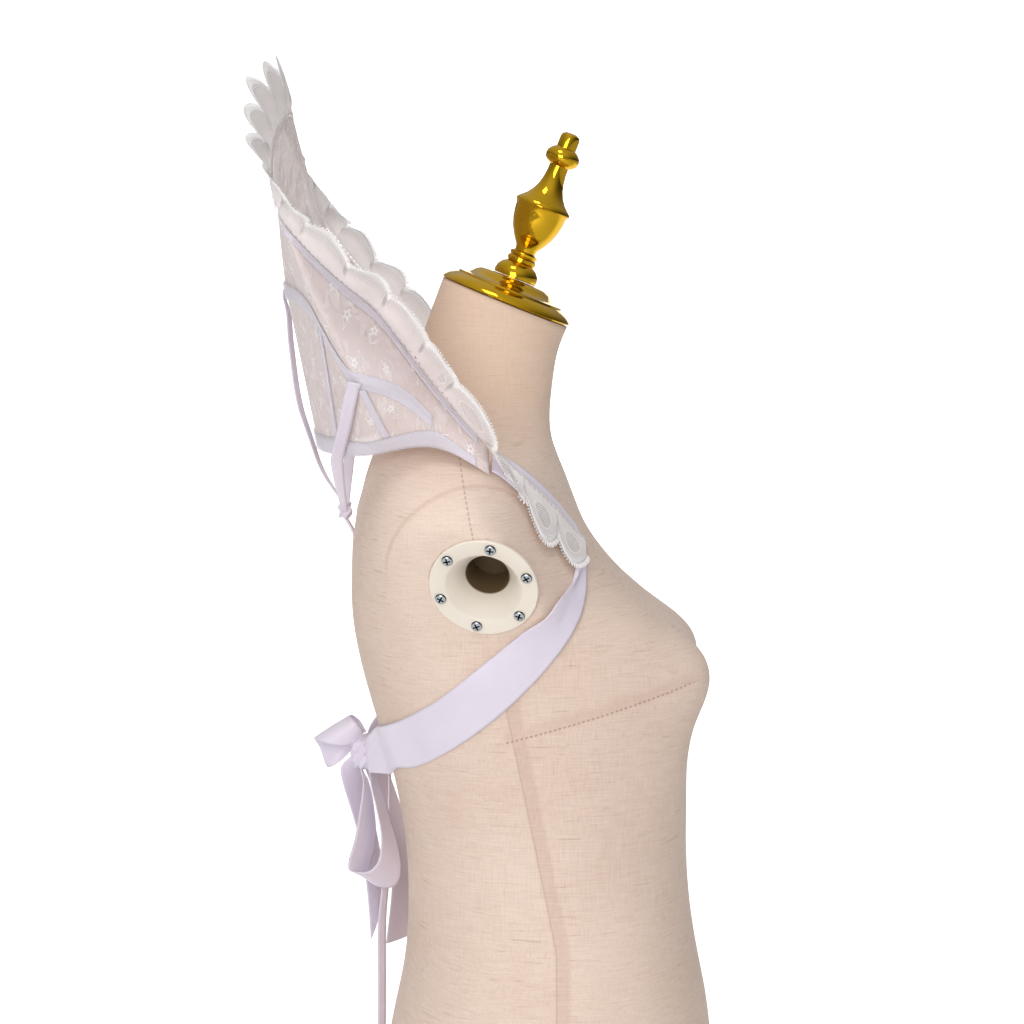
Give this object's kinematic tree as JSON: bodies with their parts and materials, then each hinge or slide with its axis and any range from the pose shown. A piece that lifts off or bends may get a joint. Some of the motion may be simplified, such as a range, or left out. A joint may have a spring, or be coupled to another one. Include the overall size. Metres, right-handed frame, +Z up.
{
  "type": "standing lace collar on dress form",
  "caption": "Standing sheer lace collar with scalloped lace edging, tied at the back with satin ribbons and a bow, on a limbless linen dress form with a gold neck finial",
  "frame": {"origin": "centre of the flat underside of the dress form, on the floor", "axes": "+Z up; the form's chest faces -Y and its back +Y; the wearer's right is -X"},
  "size_m": [0.4628, 0.3633, 0.9253],
  "materials": {
    "organza": "sheer embroidered organza, matt",
    "lace": "white broderie lace with scalloped edge, matt",
    "satin": "white satin ribbon with a soft sheen",
    "linen": "natural linen cover, matt",
    "gold": "polished gold plating",
    "socket_plate": "cream moulded plastic",
    "steel": "plated screws"
  },
  "bodies": {
    "root": {"panel": "organza", "top_band": "satin", "hoop_band": "satin", "hem_band": "satin", "bone_right_1": "satin", "bone_right_2": "satin", "bone_left_1": "satin", "bone_left_2": "satin", "lace_edging": "lace", "chest_ribbon_right": "satin", "chest_ribbon_left": "satin", "strap_right": "satin", "strap_left": "satin", "tie_right": "satin", "tie_left": "satin", "tie_centre": "satin", "tie_knot": "satin", "tie_tail_right": "satin", "tie_tail_left": "satin", "bow_knot": "satin", "bow_loop_raised": "satin", "bow_loop_hanging": "satin", "bow_tail_near": "satin", "bow_tail_far": "satin", "form_torso": "linen", "neck_cap": "gold", "finial": "gold", "socket_plate_right": "socket_plate", "socket_plate_left": "socket_plate", "screw_right_1": "steel", "screw_right_2": "steel", "screw_right_3": "steel", "screw_right_4": "steel", "screw_right_5": "steel", "screw_right_6": "steel", "screw_left_1": "steel", "screw_left_2": "steel", "screw_left_3": "steel", "screw_left_4": "steel", "screw_left_5": "steel", "screw_left_6": "steel"}
  },
  "joints": []
}
